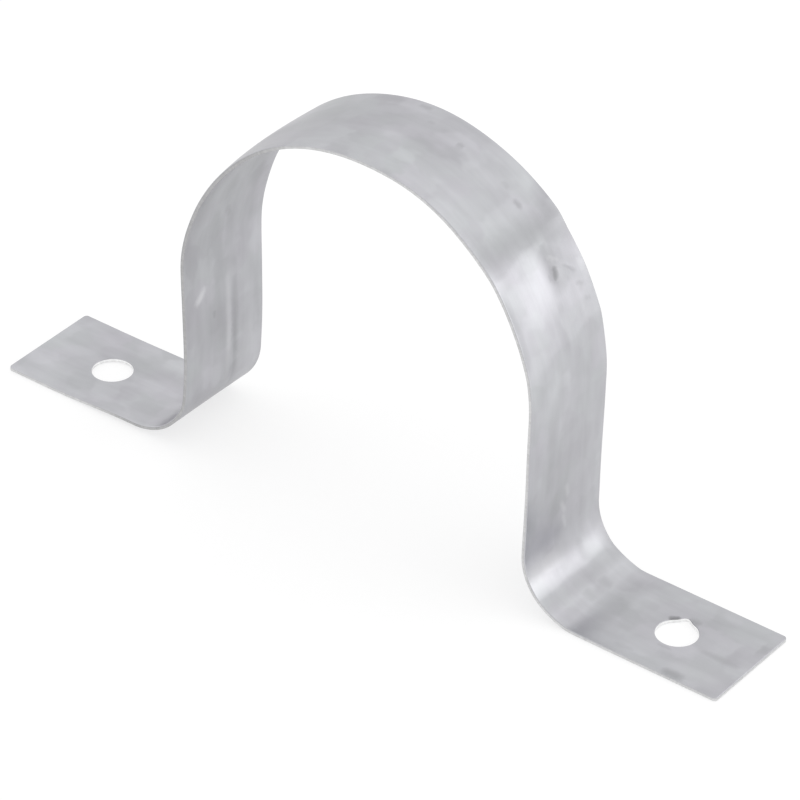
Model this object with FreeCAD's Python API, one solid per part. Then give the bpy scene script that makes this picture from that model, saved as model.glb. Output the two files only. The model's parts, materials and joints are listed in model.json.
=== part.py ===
import FreeCAD, Part
import math
import os

# U clamp: one strip of zinc-coated sheet steel, folded over a pipe and screwed down through two feet.
# Millimetres. The origin is on the wall face, midway between the feet and midway across the strip.
# X runs from foot to foot, Y runs along the pipe, and Z points away from the wall.

# Strip stock
STRIP_WIDTH = 19.0
STRIP_THICKNESS = 0.6

# Pipe seat
PIPE_DIAMETER = 63.0
SEAT_CLEARANCE = 0.5  # all round the pipe, before the feet are drawn down
WALL_GAP = 1.4  # from the wall face to the lowest point of the seat circle

# Bends and feet
BEND_INSIDE_RADIUS = 9.5
FOOT_FLAT = 25.0  # from the end of the bend to the end of the foot
FOOT_CORNER_RADIUS = 0.6

# Screw holes
HOLE_DIAMETER = 6.6
HOLE_TO_FOOT_END = 13.3

# Rounding that the slitting knife and the punch leave on the face they enter
EDGE_ROLLOVER = 0.1

# Sizes that follow from those above
SEAT_RADIUS = PIPE_DIAMETER / 2 + SEAT_CLEARANCE
ARCH_OUTER_RADIUS = SEAT_RADIUS + STRIP_THICKNESS
ARCH_CENTRE_Z = SEAT_RADIUS + WALL_GAP
BEND_OUTSIDE_RADIUS = BEND_INSIDE_RADIUS + STRIP_THICKNESS
BEND_CENTRE_X = ARCH_OUTER_RADIUS + BEND_INSIDE_RADIUS
BEND_CENTRE_Z = STRIP_THICKNESS + BEND_INSIDE_RADIUS
FOOT_END_X = BEND_CENTRE_X + FOOT_FLAT
HOLE_X = FOOT_END_X - HOLE_TO_FOOT_END

# Slack for finding an edge by its place
FIND_TOLERANCE = 1e-4


def in_profile(x, z):
    """A point of the side view, on the strip's front edge."""
    return FreeCAD.Vector(x, -STRIP_WIDTH / 2, z)


def bend_arc(side, radius):
    """A quarter turn at one foot, from the foot (below the bend's centre) up to the leg."""
    middle = radius * math.sqrt(0.5)
    return Part.Arc(
        in_profile(side * BEND_CENTRE_X, BEND_CENTRE_Z - radius),
        in_profile(side * (BEND_CENTRE_X - middle), BEND_CENTRE_Z - middle),
        in_profile(side * (BEND_CENTRE_X - radius), BEND_CENTRE_Z),
    ).toShape()


def strip_side(arch_radius, bend_radius):
    """One long side of the side view, from the left foot's end over the arch to the right foot's end."""
    foot_z = BEND_CENTRE_Z - bend_radius
    edges = []
    for side in (-1, 1):
        foot_end = in_profile(side * FOOT_END_X, foot_z)
        bend_start = in_profile(side * BEND_CENTRE_X, foot_z)
        leg_bottom = in_profile(side * arch_radius, BEND_CENTRE_Z)
        leg_top = in_profile(side * arch_radius, ARCH_CENTRE_Z)
        edges.append(Part.LineSegment(foot_end, bend_start).toShape())
        edges.append(bend_arc(side, bend_radius))
        edges.append(Part.LineSegment(leg_bottom, leg_top).toShape())
    edges.append(
        Part.Arc(
            in_profile(-arch_radius, ARCH_CENTRE_Z),
            in_profile(0, ARCH_CENTRE_Z + arch_radius),
            in_profile(arch_radius, ARCH_CENTRE_Z),
        ).toShape()
    )
    return edges


def folded_strip():
    """The side view of the bent strip, carried across the strip's width."""
    outer = strip_side(ARCH_OUTER_RADIUS, BEND_INSIDE_RADIUS)
    inner = strip_side(SEAT_RADIUS, BEND_OUTSIDE_RADIUS)
    ends = [
        Part.LineSegment(
            in_profile(side * FOOT_END_X, 0),
            in_profile(side * FOOT_END_X, STRIP_THICKNESS),
        ).toShape()
        for side in (-1, 1)
    ]
    outline = Part.Wire(Part.__sortEdges__(outer + inner + ends))
    return Part.Face(outline).extrude(FreeCAD.Vector(0, STRIP_WIDTH, 0))


def round_foot_corners(strap):
    """Takes the four upright corners off the ends of the feet."""
    corners = []
    for edge in strap.Edges:
        box = edge.BoundBox
        at_foot_end = abs(abs(box.Center.x) - FOOT_END_X) < FIND_TOLERANCE
        upright = box.XLength < FIND_TOLERANCE and box.YLength < FIND_TOLERANCE
        if at_foot_end and upright:
            corners.append(edge)
    return strap.makeFillet(FOOT_CORNER_RADIUS, corners)


def punch_feet(strap):
    """Punches one screw hole through each foot, on the strip's centre line."""
    overshoot = STRIP_THICKNESS
    for side in (-1, 1):
        punch = Part.makeCylinder(
            HOLE_DIAMETER / 2,
            STRIP_THICKNESS + 2 * overshoot,
            FreeCAD.Vector(side * HOLE_X, 0, -overshoot),
        )
        strap = strap.cut(punch)
    return strap


def on_outer_side(point):
    """Whether a point lies on the side that faces away from the wall and the pipe."""
    x = abs(point.x)
    if point.z > ARCH_CENTRE_Z:
        return math.hypot(x, point.z - ARCH_CENTRE_Z) > ARCH_OUTER_RADIUS - FIND_TOLERANCE
    if x > BEND_CENTRE_X:
        return point.z > STRIP_THICKNESS - FIND_TOLERANCE
    if point.z > BEND_CENTRE_Z:
        return x > ARCH_OUTER_RADIUS - FIND_TOLERANCE
    from_bend_centre = math.hypot(x - BEND_CENTRE_X, point.z - BEND_CENTRE_Z)
    return from_bend_centre < BEND_INSIDE_RADIUS + FIND_TOLERANCE


def roll_sheared_edges(strap):
    """Rounds the strip's outline and the hole rims on the outer side, where knife and punch went in."""
    rims = []
    for edge in strap.Edges:
        start, end = edge.ParameterRange
        middle = edge.valueAt((start + end) / 2)
        crosses_strip = edge.BoundBox.YLength > STRIP_WIDTH - FIND_TOLERANCE
        if on_outer_side(middle) and not crosses_strip:
            rims.append(edge)
    return strap.makeFillet(EDGE_ROLLOVER, rims)


def developed_length():
    """Length of the flat strip before bending, measured along the middle of its thickness."""
    half = STRIP_THICKNESS / 2
    arch = math.pi * (SEAT_RADIUS + half)
    bend = math.pi / 2 * (BEND_INSIDE_RADIUS + half)
    leg = ARCH_CENTRE_Z - BEND_CENTRE_Z
    return arch + 2 * (bend + leg + FOOT_FLAT)


def saddle_strap():
    """The whole clamp as one solid."""
    strap = folded_strip()
    strap = round_foot_corners(strap)
    strap = punch_feet(strap)
    return roll_sheared_edges(strap)


os.makedirs("parts", exist_ok=True)
clamp = saddle_strap()
clamp.exportStep("parts/saddle_strap.step")
print("flat strip length", round(developed_length(), 2), "mm")
print("solids", len(clamp.Solids), "valid", clamp.isValid(), "volume", round(clamp.Volume, 2), "mm3")
print("box", clamp.optimalBoundingBox(False, False))
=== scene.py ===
import json
import logging
import math
from dataclasses import dataclass
from enum import Enum
from functools import cached_property, reduce
from typing import Any, Union

import bpy
import numpy as np
from mathutils import Matrix, Vector
from numpy.typing import NDArray


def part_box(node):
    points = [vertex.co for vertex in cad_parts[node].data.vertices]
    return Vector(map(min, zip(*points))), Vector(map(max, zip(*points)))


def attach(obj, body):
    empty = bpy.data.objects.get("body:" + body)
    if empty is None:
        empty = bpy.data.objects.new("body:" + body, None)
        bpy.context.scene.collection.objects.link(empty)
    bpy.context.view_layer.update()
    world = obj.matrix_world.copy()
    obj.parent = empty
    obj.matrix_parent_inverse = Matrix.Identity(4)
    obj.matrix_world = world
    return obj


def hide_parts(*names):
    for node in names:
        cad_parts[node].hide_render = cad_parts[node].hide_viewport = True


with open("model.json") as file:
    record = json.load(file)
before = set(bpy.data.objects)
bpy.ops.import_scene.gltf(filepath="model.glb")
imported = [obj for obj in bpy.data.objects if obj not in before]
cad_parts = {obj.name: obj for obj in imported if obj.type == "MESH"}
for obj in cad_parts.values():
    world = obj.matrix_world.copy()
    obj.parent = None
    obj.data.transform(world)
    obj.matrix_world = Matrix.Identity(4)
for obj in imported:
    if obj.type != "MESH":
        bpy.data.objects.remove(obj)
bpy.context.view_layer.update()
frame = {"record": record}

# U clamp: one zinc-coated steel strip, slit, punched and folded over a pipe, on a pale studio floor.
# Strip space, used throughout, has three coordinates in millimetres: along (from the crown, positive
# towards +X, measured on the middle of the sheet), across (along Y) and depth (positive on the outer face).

Array = NDArray[np.float64]
Whole = NDArray[np.int64]
Flags = NDArray[np.bool_]
Socket = bpy.types.NodeSocket
Source = Union[Socket, float, tuple]
Triple = tuple[float, float, float]
Colour = Triple

MM = 0.001
NODE = "saddle_strap"
BODY = "root"
PIECE = "folded_strap"
PLACE = "strip_place"
BAKE_MAP = "OFBake"
LOG = logging.getLogger("u_clamp")


class SheetFace(Enum):
    """The two faces of the sheet, by the sign of depth in strip space."""

    OUTER = 1.0
    INNER = -1.0


class Finish(Enum):
    """The strap's finishes, by the number of their material slot."""

    ZINC = 0
    SHEARED = 1
    PUNCHED = 2


class Band(Enum):
    """The bands that the strap's skin is cut into for its flat map."""

    OUTER_FACE = 0
    INNER_FACE = 1
    OUTLINE = 2
    LEFT_HOLE = 3
    RIGHT_HOLE = 4


def ease(value: Array) -> Array:
    """A smooth step: 0 below 0, 1 above 1, and v^2 (3 - 2 v) between."""
    held = np.clip(value, 0, 1)
    return held * held * (3 - 2 * held)


def soft_ramp(value: Array, soft: float) -> Array:
    """The value above zero and 0 below it, rounded between: (v + sqrt(v^2 + soft^2)) / 2."""
    return (value + np.sqrt(value**2 + soft**2)) / 2


def grid_quads(rows: int, columns: int) -> Whole:
    """Corner numbers of a grid's quads, anticlockwise where rows run along X and columns along Y."""
    number = np.arange(rows * columns).reshape(rows, columns)
    return np.stack([number[:-1, :-1], number[1:, :-1], number[1:, 1:], number[:-1, 1:]], 2)


def grid_border(grid: Array) -> Array:
    """A grid's border, once round anticlockwise, with its first point repeated at its end."""
    return np.concatenate([grid[:, 0], grid[-1, 1:], grid[-2::-1, -1], grid[0, -2::-1]])


def put(name: str, data: bpy.types.ID) -> bpy.types.Object:
    """Makes an object and links it to the scene.

    Args:
        name: The object's name.
        data: Its mesh, lamp or camera.

    Returns:
        The object, at the origin.
    """
    made = bpy.data.objects.new(name, data)
    bpy.context.scene.collection.objects.link(made)
    return made


@dataclass(frozen=True)
class StripSizes:
    """Sizes of the folded strip in millimetres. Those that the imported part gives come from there."""

    width: float
    thickness: float
    seat_radius: float
    arch_centre: float
    foot_end: float
    hole_centre: float
    hole_radius: float
    bend_radius: float = 9.5
    corner_radius: float = 0.6
    rollover: float = 0.1
    burr: float = 0.03

    @classmethod
    def from_frame(cls, record: dict[str, Any], node: str) -> "StripSizes":
        """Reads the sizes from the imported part.

        Args:
            record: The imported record, whose mounts give the seat and the holes.
            node: The strap's node, whose box gives the overall sizes.

        Returns:
            The sizes of the strip.
        """
        low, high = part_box(node)
        mounts = {mount["name"]: mount for mount in record["mounts"]}
        seat = mounts["pipe_seat"]
        holes = mounts["screw_holes"]["dims"]
        seat_radius = seat["dims"]["r_mm"]
        arch_centre = seat["pos_m"][2] / MM
        return cls(
            width=(high.y - low.y) / MM,
            thickness=high.z / MM - arch_centre - seat_radius,
            seat_radius=seat_radius,
            arch_centre=arch_centre,
            foot_end=high.x / MM,
            hole_centre=holes["spacing_x_mm"] / 2,
            hole_radius=holes["hole_r_mm"],
        )

    @property
    def arch_mid(self) -> float:
        """Radius of the arch at the middle of the sheet."""
        return self.seat_radius + self.thickness / 2

    @property
    def bend_mid(self) -> float:
        """Radius of a foot's bend at the middle of the sheet."""
        return self.bend_radius + self.thickness / 2

    @property
    def arch_end(self) -> float:
        """Distance along the strip from the crown to the top of a leg."""
        return math.pi / 2 * self.arch_mid

    @property
    def leg_end(self) -> float:
        """Distance along the strip from the crown to the bottom of a leg."""
        return self.arch_end + self.arch_centre - self.thickness - self.bend_radius

    @property
    def bend_end(self) -> float:
        """Distance along the strip from the crown to the start of a foot."""
        return self.leg_end + math.pi / 2 * self.bend_mid

    @property
    def foot_start(self) -> float:
        """Distance of a foot's start from the middle plane."""
        return self.seat_radius + self.thickness + self.bend_radius

    @property
    def half_length(self) -> float:
        """Half the length of the flat strip."""
        return self.bend_end + self.foot_end - self.foot_start

    @property
    def hole_along(self) -> float:
        """Distance along the strip from the crown to a hole's centre."""
        return self.bend_end + self.hole_centre - self.foot_start

    @property
    def inner_corner(self) -> float:
        """Radius of a foot's corner where the rolled edge starts."""
        return self.corner_radius - self.rollover


@dataclass(frozen=True)
class Dimple:
    """A dent or groove pressed into the outer face, with a long axis turned in the sheet."""

    along: float
    across: float
    half_length: float
    half_width: float
    depth: float
    turn: float = 0.0

    def lift(self, along: Array, across: Array) -> Array:
        """Minus the depth, times the bell exp(-(a^4 + b^2)) in the dimple's own axes.

        Args:
            along: Places along the strip.
            across: Places across it.

        Returns:
            The outward movement at each place, in millimetres.
        """
        turn = math.radians(self.turn)
        east = along - self.along
        north = across - self.across
        a = (east * math.cos(turn) + north * math.sin(turn)) / self.half_length
        b = (north * math.cos(turn) - east * math.sin(turn)) / self.half_width
        return -self.depth * np.exp(-(a**4 + b**2))


@dataclass(frozen=True)
class Ripple:
    """A long shallow wave that hand folding leaves in thin sheet."""

    height: float
    length: float
    slant: float
    phase: float

    def lift(self, along: Array, across: Array) -> Array:
        """A sine along the strip whose crest slants across it, lowered so that it never stands proud."""
        wave = np.sin(2 * math.pi * (along + self.slant * across) / self.length + self.phase)
        return self.height * (wave - 1)


@dataclass(frozen=True)
class Sag:
    """A stretch of the strip that stands in from its true line, or out where the depth is below zero.

    The tilt is added at the back edge and taken off at the front edge, and the bow is added at both edges.
    """

    along: float
    half_length: float
    depth: float
    tilt: float = 0.0
    bow: float = 0.0

    def lift(self, along: Array, share: Array) -> Array:
        """Minus a parabola of depth, tilt and bow across the strip, times a raised cosine along it."""
        turn = np.clip((along - self.along) / self.half_length, -1, 1) * math.pi
        return -(self.depth + self.tilt * share + self.bow * share**2) * (1 + np.cos(turn)) / 2


@dataclass(frozen=True)
class Flat:
    """A flat that the folding tool leaves across a round stretch, between two distances from the crown."""

    start: float
    stop: float
    part: float
    soft: float
    waver: float
    waves: float = 2.3
    slant: float = 0.0
    front_loss: float = 0.5
    front_power: int = 6

    def lift(self, along: Array, share: Array, radius: float) -> Array:
        """Part of the way from the round to its chord, at d = r (1 - cos(half angle) / cos(angle)) inside.

        The flat's ends, past which d is below zero, are rounded. They slant across the strip and waver as a
        sine. Towards the front edge some of the flat is lost, by a power of the share.

        Args:
            along: Places along the strip.
            share: Places across it, from -1 at the front edge to 1 at the back edge.
            radius: The round's radius, below zero where the outer face is hollow.

        Returns:
            The outward movement at each place, in millimetres.
        """
        half = (self.stop - self.start) / 2 / abs(radius)
        middle = (self.start + self.stop) / 2 + self.slant * share
        middle = middle + self.waver * np.sin(math.pi * self.waves * share)
        angle = np.clip((along - middle) / abs(radius), -2 * half, 2 * half)
        inside = soft_ramp(abs(radius) * (1 - math.cos(half) / np.cos(angle)), self.soft)
        left = 1 - np.clip(-share, 0, 1) ** self.front_power * self.front_loss
        near = ease(2 - np.abs(angle) / half) * left
        return -math.copysign(self.part, radius) * inside * near


@dataclass(frozen=True)
class Crease:
    """A crease along the strip, from which the sheet slopes away towards the back edge."""

    across: float
    start: float
    stop: float
    slope: float
    width: float
    run_in: float
    run_out: float

    def lift(self, along: Array, across: Array) -> Array:
        """Minus the slope times the distance past the crease, rounded over its width, between its ends."""
        run = ease((along - self.start) / self.run_in) * ease((self.stop - along) / self.run_out)
        return -self.slope * soft_ramp(across - self.across, self.width) * run


@dataclass(frozen=True)
class SheetWarp:
    """What makes the sheet a little out of true: curl, ripples, sags, tool flats, a crease and dents."""

    sizes: StripSizes
    curl: float = 0.08
    ripples: tuple[Ripple, ...] = (
        Ripple(height=0.030, length=19.0, slant=0.35, phase=0.4),
        Ripple(height=0.030, length=37.0, slant=-0.5, phase=2.1),
    )
    sags: tuple[Sag, ...] = (
        Sag(along=-31.0, half_length=14.0, depth=-0.38, tilt=-0.19, bow=0.50),
        Sag(along=-50.0, half_length=10.0, depth=-0.30),
        Sag(along=-69.0, half_length=12.5, depth=0.36, tilt=-0.13),
        Sag(along=-90.0, half_length=16.0, depth=-0.40, tilt=0.19),
        Sag(along=13.0, half_length=12.0, depth=-0.12, tilt=0.19),
        Sag(along=33.0, half_length=14.0, depth=-0.30, tilt=-0.15),
        Sag(along=42.0, half_length=10.0, depth=0.15, tilt=0.20),
    )
    crease: Crease = Crease(
        across=1.0, start=23.0, stop=44.0, slope=0.036, width=0.7, run_in=5.0, run_out=10.0
    )
    arch_flat: Flat = Flat(start=26.4, stop=42.0, part=0.55, soft=0.08, waver=0.3, slant=-1.6)
    bend_flat: Flat = Flat(start=82.1, stop=87.8, part=0.40, soft=0.03, waver=0.2)
    dimples: tuple[Dimple, ...] = (
        Dimple(along=31.7, across=2.8, half_length=1.3, half_width=1.0, depth=0.12, turn=-20.0),
        Dimple(along=28.3, across=2.9, half_length=1.3, half_width=1.3, depth=0.05),
        Dimple(along=31.9, across=5.5, half_length=1.8, half_width=0.35, depth=0.02, turn=50.0),
        Dimple(along=-66.0, across=1.85, half_length=10.0, half_width=0.8, depth=-0.08),
    )

    def lift(self, along: Array, across: Array) -> Array:
        """Adds up the curl and the ripples, which fade out over the bends, the sags and the sharper forms.

        Args:
            along: Places along the strip.
            across: Places across it.

        Returns:
            The outward movement of the sheet at each place, in millimetres.
        """
        sizes = self.sizes
        share = across / (sizes.width / 2)
        fade = ease((sizes.bend_end - np.abs(along)) / (sizes.bend_end - sizes.leg_end))
        gentle = sum(form.lift(along, across) for form in self.ripples) - self.curl * share**2
        long = sum(form.lift(along, share) for form in self.sags)
        sharp = sum(form.lift(along, across) for form in self.dimples + (self.crease,))
        flats = self.arch_flat.lift(along, share, sizes.arch_mid)
        flats = flats + self.bend_flat.lift(along, share, -sizes.bend_mid)
        return gentle * fade + long + sharp + flats


@dataclass(frozen=True)
class FoldLine:
    """Carries strip space onto the folded strap."""

    sizes: StripSizes
    warp: SheetWarp

    def place(self, strip: Array) -> Array:
        """Where strip points lie on the folded strap.

        The sheet's normal leans from upright by rise minus fall: rise grows evenly over the arch to a
        quarter turn, and fall grows evenly over the bend to a quarter turn. The mid-line goes out by
        R sin(rise) over the arch and r (1 - cos(fall)) over the bend, and down by R (1 - cos(rise)), the
        leg and r sin(fall).

        Args:
            strip: Points in strip space, one row each.

        Returns:
            Points in the row frame, in metres.
        """
        sizes = self.sizes
        along, across, depth = strip.T
        side = np.where(along < 0, -1.0, 1.0)
        far = np.abs(along)
        rise = np.clip(far / sizes.arch_mid, 0, math.pi / 2)
        fall = np.clip((far - sizes.leg_end) / sizes.bend_mid, 0, math.pi / 2)
        leg = np.clip(far - sizes.arch_end, 0, sizes.leg_end - sizes.arch_end)
        foot = np.clip(far - sizes.bend_end, 0, None)
        out = sizes.arch_mid * np.sin(rise) + sizes.bend_mid * (1 - np.cos(fall)) + foot
        up = sizes.arch_centre + sizes.arch_mid * np.cos(rise) - leg - sizes.bend_mid * np.sin(fall)
        lean = rise - fall
        lift = depth + self.warp.lift(along, across)
        return np.stack([side * (out + lift * np.sin(lean)), across, up + lift * np.cos(lean)], 1) * MM


@dataclass(frozen=True)
class Patch:
    """A grid of strip points, with what each of its quads is made of and where it lies on the flat map."""

    strip: Array
    flat: Array
    band: Band
    finish: Whole
    flipped: bool
    keep: Flags

    def quads(self) -> Whole:
        """Corner numbers of the kept quads, anticlockwise seen from outside."""
        corners = grid_quads(*self.strip.shape[:2])[self.keep]
        return corners[:, ::-1] if self.flipped else corners


@dataclass(frozen=True)
class FlatMap:
    """Lays the strap's skin out flat in columns of bands, so that each face has a place of its own."""

    column: float
    gap: float = 0.8
    columns: int = 2

    def coordinates(self, patches: list[Patch]) -> list[Array]:
        """Map coordinates of every quad corner.

        A band is cut into equal pieces no longer than a column, which fill the columns row by row. A corner
        lies at its piece's origin plus its distance from the piece's start, over the map's size.

        Args:
            patches: The strap's patches.

        Returns:
            For each patch, its kept quads by four corners by two coordinates, from 0 to 1.
        """
        spans = {band: np.zeros(2) for band in Band}
        for patch in patches:
            spans[patch.band] = np.maximum(spans[patch.band], patch.flat.max((0, 1)))
        origins: dict[Band, Array] = {}
        steps: dict[Band, float] = {}
        used = 0
        floor = self.gap
        height = 0.0
        for band, (length, tall) in spans.items():
            pieces = math.ceil(length / self.column)
            steps[band] = length / pieces
            places = []
            for _ in range(pieces):
                if used == self.columns:
                    used = 0
                    floor += height + self.gap
                    height = 0.0
                places.append((self.gap + used * (self.column + self.gap), floor))
                used += 1
                height = max(height, tall)
            origins[band] = np.array(places)
        size = np.array([self.gap + self.columns * (self.column + self.gap), floor + height + self.gap])
        found = []
        for patch in patches:
            corners = patch.flat.reshape(-1, 2)[patch.quads()]
            step = steps[patch.band]
            last = len(origins[patch.band]) - 1
            piece = np.clip(corners[:, :, 0].mean(1) // step, 0, last).astype(int)
            corners[:, :, 0] -= (piece * step)[:, None]
            found.append((corners + origins[patch.band][piece][:, None]) / size)
        return found


@dataclass(frozen=True)
class Skin:
    """Works out the strap's skin in strip space: two faces, the slit outline and the punched holes."""

    sizes: StripSizes
    bend_flat: Flat
    spacing: float = 0.6
    bend_spacing: float = 0.4
    dent_spacing: float = 0.25
    dent_zone: tuple[float, float] = (22.6, 42.0)
    hole_zone: float = 6.0
    hole_spacing: float = 0.5
    hole_rings: int = 9
    ring_power: float = 1.5
    nick_bearing: float = 101.0
    nick_half_angle: float = 14.0
    nick_depth: float = 0.72
    corner_steps: int = 6
    rim_steps: int = 3
    support: float = 0.06

    def stations(self) -> list[tuple[float, float]]:
        """Places along the strip where the spacing of the grid changes, with the spacing after each.

        Returns:
            The stations from left to right. Only the right half has the finer stretch round the dent.
        """
        sizes = self.sizes
        half = [
            (sizes.leg_end, self.bend_spacing),
            (self.bend_flat.start, self.bend_spacing),
            (self.bend_flat.stop, self.bend_spacing),
            (sizes.bend_end, self.spacing),
            (sizes.hole_along - self.hole_zone, self.hole_spacing),
            (sizes.hole_along + self.hole_zone, self.spacing),
            (sizes.half_length - sizes.corner_radius, self.spacing),
        ]
        spacings = [self.spacing] + [spacing for _, spacing in half[:-1]]
        left = [(-place, spacing) for (place, _), spacing in zip(half, spacings)]
        dent_start, dent_stop = self.dent_zone
        dent = [(0.0, self.spacing), (dent_start, self.dent_spacing), (dent_stop, self.spacing)]
        return left[::-1] + dent + half

    def along_lines(self) -> tuple[Array, Array]:
        """The grid's lines across the strip, with the outline's turn at each: a quarter turn at each end.

        Returns:
            Places along the strip, and the angle from the long edge's normal to the outline's, in radians.
        """
        stations = self.stations()
        runs = []
        for (start, spacing), (stop, _) in zip(stations[:-1], stations[1:]):
            count = max(1, round((stop - start) / spacing))
            runs.append(np.linspace(start, stop, count, endpoint=False))
        middle = np.concatenate(runs + [[stations[-1][0]]])
        turn = np.linspace(0, math.pi / 2, self.corner_steps + 1)[1:]
        corner = middle[-1] + self.sizes.inner_corner * np.sin(turn)
        lines = np.concatenate([-corner[::-1], middle, corner])
        turns = np.concatenate([-turn[::-1], np.zeros(len(middle)), turn])
        return lines, turns

    def across_lines(self) -> Array:
        """The grid's lines along the strip.

        Returns:
            Places across the strip, with a support line close to each edge.
        """
        edge = self.sizes.width / 2 - self.sizes.rollover
        inside = edge - self.support
        zone = self.hole_zone
        middle = np.linspace(-zone, zone, round(2 * zone / self.hole_spacing) + 1)
        beside = np.linspace(zone, inside, round((inside - zone) / self.hole_spacing) + 1)[1:]
        return np.concatenate([[-edge], -beside[::-1], middle, beside, [edge]])

    def face_grid(self) -> Array:
        """The face as a grid, whose lines across shorten where the foot's corners are round.

        Returns:
            Along and across of each grid point, lines across the strip by lines along it by two.
        """
        lines, turns = self.along_lines()
        across = self.across_lines()
        edge = across[-1]
        share = (edge - self.sizes.inner_corner * (1 - np.cos(turns))) / edge
        along = np.broadcast_to(lines[:, None], (len(lines), len(across)))
        return np.stack([along, share[:, None] * across[None, :]], 2)

    def edge_profile(self, cut: Finish) -> tuple[Array, Whole]:
        """The section of a cut edge, from the outer face round to the inner face.

        A quarter circle where the tool went in, a straight wall, and a much smaller one at the burr.

        Args:
            cut: The finish of the wall.

        Returns:
            Outward offset and depth of each point, and the finish of each stretch between them.
        """
        sizes = self.sizes
        half = sizes.thickness / 2
        turn = np.linspace(0, math.pi / 2, self.rim_steps + 1)
        rolled = np.stack([np.sin(turn), np.cos(turn) - 1], 1) * sizes.rollover + [0, half]
        burr = np.stack([np.cos(turn) - 1, 1 - np.sin(turn)], 1) * sizes.burr + [sizes.rollover, -half]
        points = np.concatenate([rolled, burr, [[0.0, -half]]])
        finish = np.full(len(points) - 1, cut.value)
        finish[: self.rim_steps] = Finish.ZINC.value
        finish[-1] = Finish.ZINC.value
        return points, finish

    def rim(self, path: Array, outward: Array, band: Band) -> Patch:
        """The edge section carried along a path in the sheet.

        Args:
            path: Closed path with the sheet on its left, its first point repeated at its end.
            outward: Direction away from the sheet at each point of the path.
            band: Band of the flat map that the rim fills.

        Returns:
            The rim, a grid of path by section.
        """
        section, finish = self.edge_profile(Finish.SHEARED if band is Band.OUTLINE else Finish.PUNCHED)
        plan = path[:, None, :] + outward[:, None, :] * section[None, :, :1]
        depth = np.broadcast_to(section[None, :, 1:], plan.shape[:2] + (1,))
        run, girth = (
            np.concatenate([[0], np.cumsum(np.linalg.norm(np.diff(line, axis=0), axis=1))])
            for line in (path, section)
        )
        shape = (len(path) - 1, len(section) - 1)
        return Patch(
            strip=np.concatenate([plan, depth], 2),
            flat=np.stack(np.meshgrid(run, girth, indexing="ij"), 2),
            band=band,
            finish=np.broadcast_to(finish, shape),
            flipped=True,
            keep=np.ones(shape, bool),
        )

    def outline(self, grid: Array) -> Patch:
        """The slit edge all round the strip, from the face grid's own border.

        Args:
            grid: The face grid.

        Returns:
            The rim, along the front edge, the right end, the back edge and the left end.
        """
        _, turns = self.along_lines()
        front = np.stack([np.sin(turns), -np.cos(turns)], 1)
        back = np.stack([np.sin(turns), np.cos(turns)], 1)
        ends = np.zeros((grid.shape[1] - 1, 2))
        ends[:, 0] = 1.0
        outward = np.concatenate([front, ends, back[-2::-1], -ends])
        return self.rim(grid_border(grid), outward, Band.OUTLINE)

    def sheet(self, plan: Array, face: SheetFace, keep: Any = True) -> Patch:
        """A patch of one of the sheet's faces.

        Args:
            plan: Grid of along and across, rows by columns by two.
            face: Which face the patch lies on.
            keep: Mask of the quads that stay, or True for all of them.

        Returns:
            The patch, half the sheet's thickness away from its middle.
        """
        shape = (plan.shape[0] - 1, plan.shape[1] - 1)
        outer = face is SheetFace.OUTER
        depth = np.full(plan.shape[:2] + (1,), face.value * self.sizes.thickness / 2)
        return Patch(
            strip=np.concatenate([plan, depth], 2),
            flat=plan + [self.sizes.half_length, self.sizes.width / 2],
            band=Band.OUTER_FACE if outer else Band.INNER_FACE,
            finish=np.full(shape, Finish.ZINC.value),
            flipped=not outer,
            keep=np.broadcast_to(keep, shape),
        )

    def hole(self, grid: Array, side: int, keep: Flags) -> list[Patch]:
        """The sheet round one hole, and the hole's own rim.

        Rings lie between the hole's edge and the border of a square block of the grid, each point straight
        between the two at the same bearing. The edge is a circle, and the right one has a torn nick, which
        adds its depth times the bell exp(-t^2), with t the bearing from the nick over its half angle.

        Args:
            grid: The face grid.
            side: Minus one for the left foot, one for the right foot.
            keep: Mask of the grid's quads that stay, cleared here inside the block.

        Returns:
            The patches that fill the block.
        """
        centre = np.array([side * self.sizes.hole_along, 0.0])
        near = np.abs(grid - centre).max(2) < self.hole_zone + self.support / 2
        low, high = np.flatnonzero(near.any(1))[[0, -1]]
        first, last = np.flatnonzero(near.any(0))[[0, -1]]
        keep[low:high, first:last] = False
        border = grid_border(grid[low : high + 1, first : last + 1])
        bearing = border - centre
        ray = bearing / np.linalg.norm(bearing, axis=1, keepdims=True)
        turn = np.degrees(np.arctan2(bearing[:, 1], bearing[:, 0]))
        radius = np.full(len(border), self.sizes.hole_radius + self.sizes.rollover)
        if side > 0:
            t = (turn - self.nick_bearing) / self.nick_half_angle
            radius += self.nick_depth * np.exp(-(t**2))
        edge = centre + ray * radius[:, None]
        share = np.linspace(0, 1, self.hole_rings + 1) ** self.ring_power
        rings = edge[None] + share[:, None, None] * (border - edge)[None]
        patches = [self.sheet(rings, face) for face in SheetFace]
        band = Band.LEFT_HOLE if side < 0 else Band.RIGHT_HOLE
        return patches + [self.rim(edge[::-1], -ray[::-1], band)]

    def patches(self) -> list[Patch]:
        """All the patches of the skin.

        Returns:
            The patches round the holes, the two faces and the outline.
        """
        grid = self.face_grid()
        keep = np.ones((grid.shape[0] - 1, grid.shape[1] - 1), bool)
        found: list[Patch] = []
        for side in (-1, 1):
            found += self.hole(grid, side, keep)
        found += [self.sheet(grid, face, keep) for face in SheetFace]
        return found + [self.outline(grid)]


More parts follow.
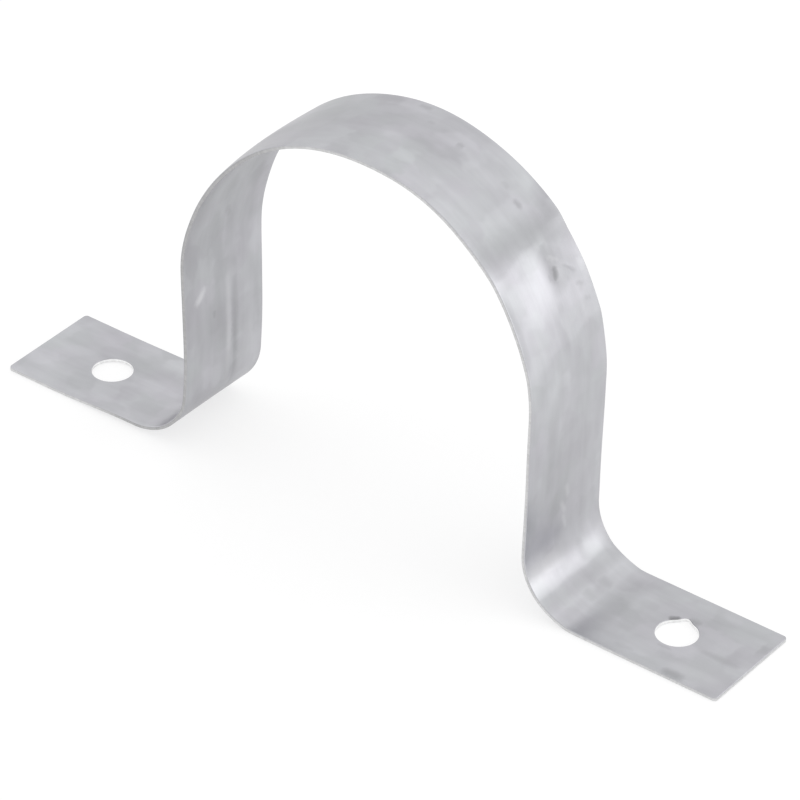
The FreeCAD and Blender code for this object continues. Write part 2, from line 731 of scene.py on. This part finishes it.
class Bench:
    """Places shader nodes in one tree and joins them."""

    def __init__(self, tree: bpy.types.NodeTree) -> None:
        """Starts on a tree."""
        self.tree = tree

    def feed(self, socket: Socket, source: Source) -> None:
        """Links a socket to another, or sets its value."""
        if isinstance(source, Socket):
            self.tree.links.new(source, socket)
        else:
            socket.default_value = source

    def add(self, kind: str, inputs: dict[Any, Source] | None = None, **settings: Any) -> bpy.types.Node:
        """Adds a node.

        Args:
            kind: The node's type, without its ShaderNode prefix.
            inputs: Values or sockets for its inputs, by name or number.
            **settings: The node's own properties.

        Returns:
            The node.
        """
        node = self.tree.nodes.new("ShaderNode" + kind)
        for name, value in settings.items():
            setattr(node, name, value)
        for key, source in (inputs or {}).items():
            self.feed(node.inputs[key], source)
        return node

    def maths(self, operation: str, first: Source, second: Source = 0.0, third: Source = 0.0) -> Socket:
        """A Math node's value."""
        return self.add("Math", {0: first, 1: second, 2: third}, operation=operation).outputs[0]

    def total(self, base: Source, parts: list[tuple[Socket, float]]) -> Source:
        """A base plus each part's value times its weight, where it has one."""
        weighed = [part for part in parts if part[1]]
        return reduce(lambda so_far, part: self.maths("MULTIPLY_ADD", *part, so_far), weighed, base)

    def vector(self, operation: str, first: Source, second: Source) -> Socket:
        """A Vector Math node's vector."""
        return self.add("VectorMath", {0: first, 1: second}, operation=operation).outputs[0]

    def noise(self, place: Source, detail: float, roughness: float = 0.5, scale: float = 1.0) -> Any:
        """A noise texture's outputs, whose values lie around one half."""
        inputs = {"Vector": place, "Scale": scale, "Detail": detail, "Roughness": roughness}
        return self.add("TexNoise", inputs).outputs

    def shaken(self, place: Source, scale: float, detail: float, reach: Triple) -> Socket:
        """A place moved by noise, by up to about half the reach each way."""
        centred = self.vector("SUBTRACT", self.noise(place, detail, scale=scale)["Color"], (0.5, 0.5, 0.5))
        return self.vector("ADD", place, self.vector("MULTIPLY", centred, reach))

    def span(self, value: Source, low: float, high: float, bottom: float = 0, top: float = 1) -> Socket:
        """A value carried smoothly from one range to another."""
        inputs = {"Value": value, "From Min": low, "From Max": high, "To Min": bottom, "To Max": top}
        return self.add("MapRange", inputs, interpolation_type="SMOOTHSTEP").outputs["Result"]

    def blend(self, share: Source, first: Source, second: Source, way: str = "MIX") -> Socket:
        """Two colours mixed."""
        inputs = {"Factor": share, "A": first, "B": second}
        return self.add("Mix", inputs, data_type="RGBA", blend_type=way).outputs["Result"]

    def use(self, group: bpy.types.NodeTree, **inputs: Source) -> Any:
        """A placed node group's outputs. An underscore in an input's name stands for a space."""
        named = {name.replace("_", " "): source for name, source in inputs.items()}
        return self.add("Group", named, node_tree=group).outputs


@dataclass
class Effects:
    """Surface effects that the finishes share, each a node group built once."""

    stir_scale: float = 1.7
    stir_detail: float = 1.0
    stir_reach: Triple = (1.1, 0.8, 0.0)
    cell_smoothness: float = 0.6
    cloud_squeeze: Triple = (0.7, 1.0, 1.0)
    cloud_detail: float = 3.0
    cloud_roughness: float = 0.55
    cloud_low: float = 0.3
    cloud_high: float = 0.7
    streak_squeeze: float = 0.3
    streak_detail: float = 1.0
    mark_reach: float = 1.4
    mark_depth: float = 0.2

    def group(self, name: str, inputs: dict[str, str], outputs: list[str]) -> tuple[Bench, Any, Any]:
        """Starts a node group.

        Args:
            name: The group's name.
            inputs: Its input sockets, by name, each Vector or Float.
            outputs: Its output sockets, all Float.

        Returns:
            A bench on the group, its input node's sockets and its output node's sockets.
        """
        tree = bpy.data.node_groups.new(name, "ShaderNodeTree")
        for label, kind in inputs.items():
            tree.interface.new_socket(label, in_out="INPUT", socket_type="NodeSocket" + kind)
        for label in outputs:
            tree.interface.new_socket(label, in_out="OUTPUT", socket_type="NodeSocketFloat")
        source = tree.nodes.new("NodeGroupInput")
        sink = tree.nodes.new("NodeGroupOutput")
        return Bench(tree), source.outputs, sink.inputs

    def scaled(self, bench: Bench, given: Any, size: str) -> Socket:
        """A group's place, divided by another of its inputs."""
        inverse = bench.maths("DIVIDE", 1.0, given[size])
        return bench.add("VectorMath", {0: given["Place"], "Scale": inverse}, operation="SCALE").outputs[0]

    @cached_property
    def spangle(self) -> bpy.types.NodeTree:
        """Zinc crystals: cells with ragged borders, each with its own tone and tint."""
        inputs = {"Place": "Vector", "Size": "Float"}
        bench, given, made = self.group("zinc_spangle", inputs, ["Tone", "Tint"])
        scaled = self.scaled(bench, given, "Size")
        pushed = bench.shaken(scaled, self.stir_scale, self.stir_detail, self.stir_reach)
        inputs = {"Vector": pushed, "Scale": 1.0, "Smoothness": self.cell_smoothness}
        cells = bench.add("TexVoronoi", inputs, feature="SMOOTH_F1")
        parts = bench.add("SeparateColor", {0: cells.outputs["Color"]})
        bench.feed(made["Tone"], parts.outputs[0])
        bench.feed(made["Tint"], parts.outputs[1])
        return bench.tree

    @cached_property
    def cloud(self) -> bpy.types.NodeTree:
        """Soft patches of dull coating, from noise of a given size stretched a little along the strip."""
        bench, given, made = self.group("dull_cloud", {"Place": "Vector", "Size": "Float"}, ["Tone"])
        drawn = bench.vector("MULTIPLY", self.scaled(bench, given, "Size"), self.cloud_squeeze)
        noise = bench.noise(drawn, self.cloud_detail, self.cloud_roughness)["Fac"]
        bench.feed(made["Tone"], bench.span(noise, self.cloud_low, self.cloud_high))
        return bench.tree

    @cached_property
    def drawn(self) -> bpy.types.NodeTree:
        """Lines and streaks drawn out along the strip: noise of a given pitch across, stretched along."""
        inputs = {"Place": "Vector", "Pitch": "Float", "Stretch": "Float"}
        bench, given, made = self.group("drawn_streaks", inputs, ["Tone"])
        shorter = bench.maths("DIVIDE", 1.0, given["Stretch"])
        squeeze = bench.add("CombineXYZ", {0: shorter, 1: 1.0, 2: self.streak_squeeze}).outputs[0]
        drawn = bench.vector("MULTIPLY", self.scaled(bench, given, "Pitch"), squeeze)
        bench.feed(made["Tone"], bench.noise(drawn, self.streak_detail)["Fac"])
        return bench.tree

    @cached_property
    def mark(self) -> bpy.types.NodeTree:
        """One mark on one face: 1 at its centre, falling to 0 where sqrt(a^4 + b^2) meets the reach."""
        inputs = {"Place": "Vector", "Centre": "Vector", "Half Length": "Float", "Half Width": "Float"}
        inputs |= {"Turn": "Float", "Side": "Float"}
        bench, given, made = self.group("placed_mark", inputs, ["Mask"])
        back = bench.maths("MULTIPLY", given["Turn"], -1.0)
        inputs = {0: given["Place"], 1: given["Centre"], "Angle": back}
        spun = bench.add("VectorRotate", inputs, rotation_type="Z_AXIS").outputs[0]
        local = bench.vector("SUBTRACT", spun, given["Centre"])
        east, north, _ = bench.add("SeparateXYZ", {0: local}).outputs
        a = bench.maths("DIVIDE", east, given["Half Length"])
        b = bench.maths("DIVIDE", north, given["Half Width"])
        fourth = bench.maths("POWER", a, 4.0)
        far = bench.maths("SQRT", bench.maths("MULTIPLY_ADD", b, b, fourth))
        shape = bench.span(far, 0.0, self.mark_reach, 1.0, 0.0)
        depth = bench.add("SeparateXYZ", {0: given["Place"]}).outputs[2]
        side = bench.span(bench.maths("MULTIPLY", depth, given["Side"]), 0.0, self.mark_depth)
        bench.feed(made["Mask"], bench.maths("MULTIPLY", shape, side))
        return bench.tree


class Surface(Bench):
    """A bench on a new material, with the effects that all materials share."""

    effects: Effects = Effects()

    def __init__(self, name: str) -> None:
        """Starts a material."""
        self.material = bpy.data.materials.new(name)
        self.material.use_nodes = True
        super().__init__(self.material.node_tree)

    @cached_property
    def place(self) -> Socket:
        """Strip space at the shaded point."""
        return self.add("Attribute", attribute_name=PLACE).outputs["Vector"]

    def give(self, name: str, source: Source) -> None:
        """Feeds or sets one of the shader's inputs."""
        self.feed(self.tree.nodes["Principled BSDF"].inputs[name], source)


@dataclass(frozen=True)
class Mark:
    """A spot, smudge or scuff, or a patch of painted shade or highlight, on one face, placed in strip
    space.
    """

    along: float
    across: float
    half_length: float
    half_width: float
    strength: float
    turn: float = 0.0

    def mask(self, coat: Surface, place: Socket, face: SheetFace) -> Socket:
        """The mark's mask, times its strength.

        Args:
            coat: The material.
            place: Strip space at the shaded point.
            face: The face that the mark is on.

        Returns:
            The mask's socket.
        """
        made = coat.use(
            coat.effects.mark,
            Place=place,
            Centre=(self.along, self.across, 0.0),
            Half_Length=self.half_length,
            Half_Width=self.half_width,
            Turn=math.radians(self.turn),
            Side=face.value,
        )
        return coat.maths("MULTIPLY", made["Mask"], self.strength)


Marks = tuple[Mark, ...]


@dataclass(frozen=True)
class Layer:
    """How much a layer of the coat adds to its tone, roughness and height."""

    tone: float = 0.0
    rough: float = 0.0
    height: float = 0.0


@dataclass(frozen=True)
class Streaks(Layer):
    """A layer of streaks drawn out along the strip."""

    pitch: float = 1.0
    stretch: float = 1.0

    def mask(self, coat: Surface) -> Socket:
        """The streaks' tone."""
        made = coat.use(coat.effects.drawn, Place=coat.place, Pitch=self.pitch, Stretch=self.stretch)
        return made["Tone"]


@dataclass(frozen=True)
class ZincCoat:
    """The dull zinc coat on both faces of the strip, with real smudges, spots and scrapes, and painted
    shade and highlights.

    Each mark gives, in this order, its place along and across, its half length and half width, its strength
    and, where it is turned, the turn in degrees.
    """

    cool: Colour = (0.512, 0.504, 0.538)
    green: Colour = (0.510, 0.522, 0.536)
    # Dark colour of the smudges, also used for painted shade
    soil: Colour = (0.16, 0.159, 0.162)
    # Pale colour of the scrapes, also used for painted highlights
    pale_scrape_and_highlight: Colour = (0.70, 0.70, 0.72)
    edge_tint: Colour = (0.85, 0.85, 0.85)
    outer_tone: float = 0.70
    # The inner face's lower tone is painted shade, where it reflects the shaded floor
    inner_shaded_tone: float = 0.625
    face_border: float = 0.1
    least_rough: float = 0.23
    bump_depth: float = 0.00004
    tint_share: float = 0.5
    spangle_size: float = 4.0
    spangle: Layer = Layer(tone=0.15, rough=0.05)
    cloud_size: float = 11.0
    cloud: Layer = Layer(tone=0.10, rough=0.05, height=0.4)
    lines: Streaks = Streaks(tone=0.04, height=0.1, pitch=0.45, stretch=80.0)
    streaks: Streaks = Streaks(tone=0.16, rough=0.10, height=0.25, pitch=1.8, stretch=3.5)
    bands: Streaks = Streaks(tone=0.20, pitch=4.0, stretch=9.0)
    dirt: Layer = Layer(rough=0.25)
    scrape_and_highlight: Layer = Layer(height=-0.3)
    shake_scale: float = 1.4
    shake_detail: float = 3.0
    shake_reach: Triple = (0.8, 0.5, 0.0)
    soiled_and_shaded_outside: Marks = (
        # The dent on the right arch and what surrounds it: a dark smudge in the dent, partly painted shade
        # in its hollow, and painted shade that dims the back half of the highlight and trims its right
        # border
        Mark(31.6, 2.8, 1.4, 1.1, 0.63, -20.0),
        Mark(33.6, 2.6, 1.6, 0.6, 0.22),
        Mark(31.0, 3.0, 4.4, 2.7, 0.33),
        Mark(31.9, 1.3, 0.9, 0.7, 0.26),
        Mark(37.5, 3.0, 4.0, 1.6, 0.12),
        Mark(27.8, 2.8, 1.4, 1.3, 0.29),
        Mark(31.9, 5.5, 2.1, 0.45, 0.24, 50.0),
        Mark(35.0, 6.6, 1.2, 0.5, 0.15, 70.0),
        Mark(37.8, 7.4, 0.8, 0.5, 0.15, 80.0),
        Mark(36.6, 4.3, 5.0, 1.8, 0.12),
        # Crown and arch: dark spots, and painted shade: a grazing darkening near -21 and the dark band
        # before the right arch's highlight
        # Painted shade: the outer face darker where it is seen at a grazing angle
        Mark(-21.0, -2.0, 5.0, 4.0, 0.15),
        Mark(-11.0, 3.0, 9.0, 8.0, 0.11),
        Mark(-6.0, -0.5, 1.8, 0.9, 0.10),
        Mark(-1.2, 8.3, 1.3, 0.7, 0.18),
        Mark(1.9, 5.3, 0.9, 0.6, 0.14),
        Mark(6.9, -0.5, 2.2, 1.1, 0.10),
        Mark(8.1, 4.3, 0.7, 0.9, 0.25),
        Mark(10.0, 5.0, 13.0, 1.5, 0.07),
        Mark(11.0, -1.8, 12.0, 1.8, 0.07),
        Mark(16.9, 4.3, 0.9, 0.8, 0.15),
        Mark(20.3, 3.5, 1.0, 0.7, 0.28),
        # Painted shade, these two marks: the dark band before the highlight, standing for a dark reflection
        Mark(24.5, 0.5, 11.0, 3.2, 0.29, 86.0),
        Mark(26.6, 6.3, 4.4, 2.0, 0.22, 90.0),
        Mark(28.3, -7.4, 1.8, 2.0, 0.12),
        Mark(43.5, -5.0, 4.0, 3.0, 0.13),
        # Right leg: dark streaks, and painted shade that spreads the dark reflection above the bend
        Mark(50.0, -2.0, 5.0, 1.6, 0.10),
        Mark(60.0, -3.8, 11.0, 2.2, 0.20),
        # Painted shade: broad darkening that widens the reflected dark patch
        Mark(64.5, -1.0, 11.0, 6.0, 0.16),
        Mark(68.0, 5.5, 9.0, 2.6, 0.09),
        Mark(69.5, -4.2, 5.0, 2.2, 0.12),
        Mark(74.0, -1.2, 3.0, 1.8, 0.15),
        # Right bend: painted shade that breaks up the bend's highlight, dims its second lighter band and
        # darkens the whole right leg, bend and foot a little
        Mark(79.6, 3.0, 2.4, 1.6, 0.20),
        Mark(80.4, 9.0, 2.0, 2.0, 0.26),
        Mark(83.0, 0.0, 36.0, 14.0, 0.08),
        Mark(83.6, 0.5, 13.0, 2.0, 0.21, 90.0),
        Mark(86.0, 2.8, 1.6, 1.6, 0.23),
        Mark(86.0, -1.2, 1.6, 2.0, 0.21),
        Mark(86.2, -1.0, 11.0, 1.7, 0.14, 90.0),
        Mark(90.6, 0.0, 10.0, 2.6, 0.18, 90.0),
        # Feet: spots and streaks, and painted shade at the right hole's rim: the dark blob beside the nick
        # and the shade above and below the rim
        Mark(-96.5, 4.0, 7.0, 5.0, 0.11),
        Mark(94.0, 3.0, 2.6, 1.8, 0.14),
        Mark(97.0, -7.6, 2.0, 0.8, 0.14),
        # Painted shade: the hole wall's shadow beside the nick
        Mark(98.95, 2.6, 1.0, 0.8, 0.70, 45.0),
        Mark(101.6, -3.9, 1.6, 0.5, 0.20),
        Mark(101.7, 3.8, 1.3, 1.1, 0.28),
        Mark(106.2, -8.6, 2.1, 1.2, 0.33),
        Mark(109.6, -1.3, 3.8, 0.9, 0.21),
        Mark(113.5, 4.5, 0.9, 2.4, 0.20),
    )
    soiled_and_shaded_inside: Marks = (
        # Dark spots at -44.4 and -62.2; the rest is painted shade: the inner face darkened where it
        # reflects the shaded floor, and the dark side of the crease near -67
        Mark(-35.5, 4.5, 7.0, 5.5, 0.16),
        Mark(-40.0, 0.0, 5.0, 2.6, 0.18),
        Mark(-44.4, 0.5, 2.2, 1.2, 0.22, -30.0),
        Mark(-45.0, 2.0, 9.0, 2.2, 0.17),
        Mark(-46.0, -8.2, 12.0, 4.0, 0.19),
        Mark(-46.0, -4.0, 12.0, 9.0, 0.08),
        Mark(-54.0, 2.4, 4.0, 2.0, 0.14),
        Mark(-62.0, -1.5, 7.0, 4.0, 0.10),
        Mark(-62.2, -2.4, 0.9, 0.6, 0.25),
        # Painted shade: the dark side of the crease
        Mark(-67.0, 2.7, 10.5, 0.85, 0.25),
        Mark(-73.0, 1.0, 3.6, 2.6, 0.16),
    )
    # Real scratches and scrapes, and painted highlight
    scraped_and_highlighted_outside: Marks = (
        Mark(29.6, 3.4, 1.3, 0.5, 0.45, 60.0),
        Mark(32.8, 8.4, 1.0, 0.7, 0.15),
        Mark(39.5, 6.3, 6.0, 1.9, 0.16),
        Mark(67.6, 0.6, 1.3, 0.6, 0.40, 15.0),
        Mark(70.2, -0.2, 1.6, 0.5, 0.42, 30.0),
        Mark(73.0, 0.3, 1.6, 0.5, 0.38, 20.0),
        # Painted highlight, these two marks: the right bend's highlight started earlier towards the front
        Mark(74.6, -7.4, 6.0, 3.8, 0.55),
        Mark(77.9, -5.2, 1.7, 4.4, 0.50),
        Mark(108.5, -6.5, 5.0, 2.4, 0.15),
    )
    scraped_and_highlighted_inside: Marks = (
        Mark(-57.5, -5.6, 1.8, 0.8, 0.60, 48.0),
        # Painted highlight: the light side of the crease on the left leg's inner face
        Mark(-66.0, 1.1, 9.8, 0.75, 0.34),
        Mark(-72.0, 6.0, 5.0, 3.2, 0.14),
    )

    def marked(self, coat: Surface, place: Socket, outside: Marks, inside: Marks) -> Socket:
        """The strongest of several marks at each point.

        Args:
            coat: The material.
            place: Strip space at the shaded point.
            outside: The marks on the outer face.
            inside: The marks on the inner face.

        Returns:
            The mask of them all.
        """
        masks = [mark.mask(coat, place, SheetFace.OUTER) for mark in outside]
        masks += [mark.mask(coat, place, SheetFace.INNER) for mark in inside]
        return reduce(lambda strongest, mask: coat.maths("MAXIMUM", strongest, mask), masks)

    def material(self) -> bpy.types.Material:
        """Builds the zinc coat, whose marks have borders made uneven by noise.

        Returns:
            The material.
        """
        coat = Surface("zinc_coat")
        spangle = coat.use(coat.effects.spangle, Place=coat.place, Size=self.spangle_size)
        cloud = coat.use(coat.effects.cloud, Place=coat.place, Size=self.cloud_size)["Tone"]
        ragged = coat.shaken(coat.place, self.shake_scale, self.shake_detail, self.shake_reach)
        # Dark marks: smudges and spots, and painted shade
        soiled_and_shaded = self.marked(coat, ragged, self.soiled_and_shaded_outside, self.soiled_and_shaded_inside)
        # Light marks: scratches and scrapes, and painted highlights
        scraped_and_highlighted = self.marked(coat, ragged, self.scraped_and_highlighted_outside, self.scraped_and_highlighted_inside)
        layers = [(spangle["Tone"], self.spangle), (cloud, self.cloud)]
        layers += [(kind.mask(coat), kind) for kind in (self.lines, self.streaks, self.bands)]
        layers += [(soiled_and_shaded, self.dirt), (scraped_and_highlighted, self.scrape_and_highlight)]
        share = self.tint_share
        tint = coat.maths("MULTIPLY_ADD", spangle["Tint"], share, coat.maths("MULTIPLY", cloud, 1 - share))
        zinc = coat.blend(tint, (*self.cool, 1.0), (*self.green, 1.0))
        depth = coat.add("SeparateXYZ", {0: coat.place}).outputs[2]
        # Painted shade: the inner face darker than the outer
        base = coat.span(depth, -self.face_border, self.face_border, self.inner_shaded_tone, self.outer_tone)
        tone = coat.total(base, [(mask, layer.tone) for mask, layer in layers])
        zinc = coat.blend(1.0, zinc, tone, "MULTIPLY")
        zinc = coat.blend(scraped_and_highlighted, zinc, (*self.pale_scrape_and_highlight, 1.0))
        coat.give("Base Color", coat.blend(soiled_and_shaded, zinc, (*self.soil, 1.0)))
        rough = coat.total(self.least_rough, [(mask, layer.rough) for mask, layer in layers])
        coat.give("Roughness", rough)
        height = coat.total(0.0, [(mask, layer.height) for mask, layer in layers])
        bump = coat.add("Bump", {"Strength": 1.0, "Distance": self.bump_depth, "Height": height})
        coat.give("Normal", bump.outputs["Normal"])
        coat.give("Specular Tint", (*self.edge_tint, 1.0))
        coat.give("Metallic", 1.0)
        return coat.material


@dataclass(frozen=True)
class CutEdge:
    """Bare steel at a slit or punched edge: burnished near the outer face, torn and matt below."""

    name: str
    burnished: Colour = (0.545, 0.545, 0.555)
    torn: Colour = (0.68, 0.68, 0.685)
    burnished_share: float = 0.35
    border_waver: float = 0.2
    border_width: float = 0.1
    cloud_size: float = 1.5
    drag_size: float = 0.4
    drag_squeeze: Triple = (1.0, 1.0, 0.1)
    drag_tone: float = 0.14
    smooth: float = 0.35
    rough: float = 0.6
    # Painted shade: the edges darker over the left half of the strip, where they lie in shade
    shade_place: float = -55.0
    shade_half: float = 46.0
    shade_fade: float = 13.0
    shade_tone: float = 0.74

    def material(self, sizes: StripSizes) -> bpy.types.Material:
        """Builds the cut edge.

        Args:
            sizes: The strip's sizes.

        Returns:
            The material.
        """
        edge = Surface(self.name)
        along, _, depth = edge.add("SeparateXYZ", {0: edge.place}).outputs
        cloud = edge.use(edge.effects.cloud, Place=edge.place, Size=self.cloud_size)["Tone"]
        dragged = edge.vector("MULTIPLY", edge.place, self.drag_squeeze)
        drag = edge.use(edge.effects.spangle, Place=dragged, Size=self.drag_size)["Tone"]
        border = sizes.thickness * (0.5 - self.burnished_share)
        level = edge.maths("MULTIPLY_ADD", cloud, self.border_waver * sizes.thickness, depth)
        shine = edge.span(level, border, border + self.border_width * sizes.thickness)
        steel = edge.blend(shine, (*self.torn, 1.0), (*self.burnished, 1.0))
        tone = edge.maths("MULTIPLY_ADD", drag, self.drag_tone, 1 - self.drag_tone / 2)
        steel = edge.blend(1.0, steel, tone, "MULTIPLY")
        # Painted shade: the edge darkened over the left of the strip
        far = edge.maths("ABSOLUTE", edge.maths("SUBTRACT", along, self.shade_place))
        dull = edge.span(far, self.shade_half - self.shade_fade, self.shade_half, self.shade_tone, 1.0)
        edge.give("Base Color", edge.blend(1.0, steel, dull, "MULTIPLY"))
        edge.give("Roughness", edge.span(shine, 0.0, 1.0, self.rough, self.smooth))
        edge.give("Metallic", 1.0)
        return edge.material


@dataclass
class SaddleStrap:
    """The folded strap: its dense skin, in place of the plain solid, and its finishes."""

    sizes: StripSizes
    zinc: ZincCoat = ZincCoat()
    sheared: CutEdge = CutEdge("sheared_edge")
    # Painted highlight: the punched rim's steel is far paler than the slit edge's, so the hole walls look
    # lit
    punched: CutEdge = CutEdge(
        "punched_rim", burnished=(0.92, 0.92, 0.92), torn=(0.86, 0.86, 0.86), burnished_share=0.6
    )
    weld: float = 1e-5

    def build(self) -> bpy.types.Object:
        """Builds the strap's mesh, with strip space and the flat map on it.

        Returns:
            The strap, linked to the scene.
        """
        warp = SheetWarp(self.sizes)
        patches = Skin(self.sizes, warp.bend_flat).patches()
        points = np.concatenate([patch.strip.reshape(-1, 3) for patch in patches])
        starts = np.cumsum([0] + [patch.strip[..., 0].size for patch in patches])
        quads = np.concatenate([patch.quads() + start for patch, start in zip(patches, starts)])
        finish = np.concatenate([patch.finish[patch.keep] for patch in patches])
        flat = np.concatenate(FlatMap(self.sizes.half_length / 2).coordinates(patches))
        keys = np.round(points / self.weld).astype(np.int64)
        _, first, number = np.unique(keys, axis=0, return_index=True, return_inverse=True)
        used, quads = np.unique(number.reshape(-1)[quads], return_inverse=True)
        quads = quads.reshape(-1, 4)
        strip = points[first][used]
        places = FoldLine(self.sizes, warp).place(strip)
        mesh = bpy.data.meshes.new(PIECE)
        mesh.from_pydata(places.tolist(), [], quads.tolist(), shade_flat=False)
        mesh.polygons.foreach_set("material_index", finish.astype(np.int32))
        place = mesh.attributes.new(PLACE, "FLOAT_VECTOR", "POINT")
        place.data.foreach_set("vector", strip.astype(np.float32).ravel())
        mesh.uv_layers.new(name=BAKE_MAP).uv.foreach_set("vector", flat.astype(np.float32).ravel())
        LOG.info("%s: %d points, %d quads", PIECE, len(places), len(quads))
        return put(PIECE, mesh)

    def dress(self, strap: bpy.types.Object) -> None:
        """Gives the strap its finishes, in the order of Finish.

        Args:
            strap: The strap.
        """
        strap.data.materials.append(self.zinc.material())
        for cut in (self.sheared, self.punched):
            strap.data.materials.append(cut.material(self.sizes))
        LOG.info("%s: %s", PIECE, ", ".join(finish.name.lower() for finish in Finish))


@dataclass(frozen=True)
class SoftBox:
    """A lamp with a plain soft face, aimed at the object, in metres and degrees."""

    name: str
    azimuth: float
    elevation: float
    distance: float
    width: float
    height: float
    glow: float

    def hang(self, target: Vector) -> None:
        """Hangs the lamp. Its power is its glow times pi times its area, so metal shows it as that glow.

        Args:
            target: The point that it faces.
        """
        data = bpy.data.lights.new(self.name, "AREA")
        data.shape = "RECTANGLE"
        data.size = self.width
        data.size_y = self.height
        data.energy = self.glow * math.pi * self.width * self.height
        lamp = put(self.name, data)
        turn = math.radians(self.azimuth)
        rise = math.radians(self.elevation)
        way = Vector((math.cos(turn) * math.cos(rise), math.sin(turn) * math.cos(rise), math.sin(rise)))
        lamp.location = target + way * self.distance
        lamp.rotation_euler = way.to_track_quat("Z", "Y").to_euler()
        lamp.visible_camera = False
        LOG.info("lamp %s", self.name)


@dataclass(frozen=True)
class Viewpoint:
    """The photograph's camera, in millimetres and degrees."""

    azimuth: float = 35.650
    elevation: float = 34.732
    roll: float = 2.144
    distance: float = 795.8
    aim_right: float = 2.20
    aim_up: float = 15.34
    lens: float = 234.94
    sensor: float = 36.0

    def set_up(self) -> None:
        """Makes the camera and gives it to the scene."""
        turn = math.radians(self.azimuth)
        rise = math.radians(self.elevation)
        roll = math.radians(self.roll)
        back = Vector((math.sin(turn) * math.cos(rise), -math.cos(turn) * math.cos(rise), math.sin(rise)))
        level = Vector((math.cos(turn), math.sin(turn), 0.0))
        upright = back.cross(level)
        right = math.cos(roll) * level + math.sin(roll) * upright
        up = math.cos(roll) * upright - math.sin(roll) * level
        data = bpy.data.cameras.new("camera")
        data.lens = self.lens
        data.sensor_width = self.sensor
        camera = put("camera", data)
        place = (self.aim_right * right + self.aim_up * up + self.distance * back) * MM
        camera.matrix_world = Matrix.Translation(place) @ Matrix((right, up, back)).transposed().to_4x4()
        bpy.context.scene.camera = camera


@dataclass(frozen=True)
class Studio:
    """Pale floor, even white surroundings, soft lamps and the camera."""

    floor_half: float = 6.0
    floor_lines: int = 5
    floor_drop: float = 0.0001
    floor_colour: Colour = (0.36, 0.36, 0.36)
    floor_white: float = 0.66
    surround: float = 1.0
    target: Triple = (0.0, 0.0, 0.03)
    lamps: tuple[SoftBox, ...] = (
        SoftBox("rim_box", azimuth=20.9, elevation=16.8, distance=1.2, width=1.07, height=0.58, glow=1.2),
        SoftBox("back_box", azimuth=64.7, elevation=54.7, distance=1.4, width=0.69, height=0.71, glow=0.32),
    )
    viewpoint: Viewpoint = Viewpoint()

    def floor(self) -> bpy.types.Object:
        """Lays the floor: a flat grid of two parameters, just under the feet.

        Returns:
            The floor, white to the camera and in reflections, with the object's shadow.
        """
        side = np.linspace(-self.floor_half, self.floor_half, self.floor_lines)
        east, north = np.meshgrid(side, side, indexing="ij")
        points = np.stack([east, north, np.full_like(east, -self.floor_drop)], 2).reshape(-1, 3)
        quads = grid_quads(*east.shape).reshape(-1, 4)
        mesh = bpy.data.meshes.new("floor")
        mesh.from_pydata(points.tolist(), [], quads.tolist())
        paint = Surface("floor_paint")
        paint.give("Base Color", (*self.floor_colour, 1.0))
        paint.give("Roughness", 1.0)
        paint.give("Specular IOR Level", 0.0)
        paint.give("Emission Color", (1.0, 1.0, 1.0, 1.0))
        path = paint.add("LightPath").outputs
        seen = paint.maths("MAXIMUM", path["Is Camera Ray"], path["Is Glossy Ray"])
        seen = paint.maths("MAXIMUM", seen, path["Is Transmission Ray"])
        paint.give("Emission Strength", paint.maths("MULTIPLY", seen, self.floor_white))
        mesh.materials.append(paint.material)
        return put("floor", mesh)

    def surroundings(self) -> None:
        """Sets even white light from all round."""
        world = bpy.data.worlds.new("surroundings")
        world.use_nodes = True
        light = world.node_tree.nodes["Background"]
        light.inputs["Color"].default_value = (1.0, 1.0, 1.0, 1.0)
        light.inputs["Strength"].default_value = self.surround
        bpy.context.scene.world = world

    def set_up(self) -> None:
        """Sets up the floor, the light and the camera."""
        bpy.context.scene.view_settings.view_transform = "Standard"
        self.floor()
        self.surroundings()
        for lamp in self.lamps:
            lamp.hang(Vector(self.target))
        self.viewpoint.set_up()


def main() -> None:
    """Builds the strap, dresses it and sets up the studio."""
    logging.basicConfig(level=logging.INFO, format="%(name)s %(message)s")
    sizes = StripSizes.from_frame(frame["record"], NODE)
    strap = SaddleStrap(sizes)
    piece = strap.build()
    strap.dress(piece)
    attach(piece, BODY)
    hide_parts(NODE)
    Studio().set_up()


if __name__ == "__main__":
    main()
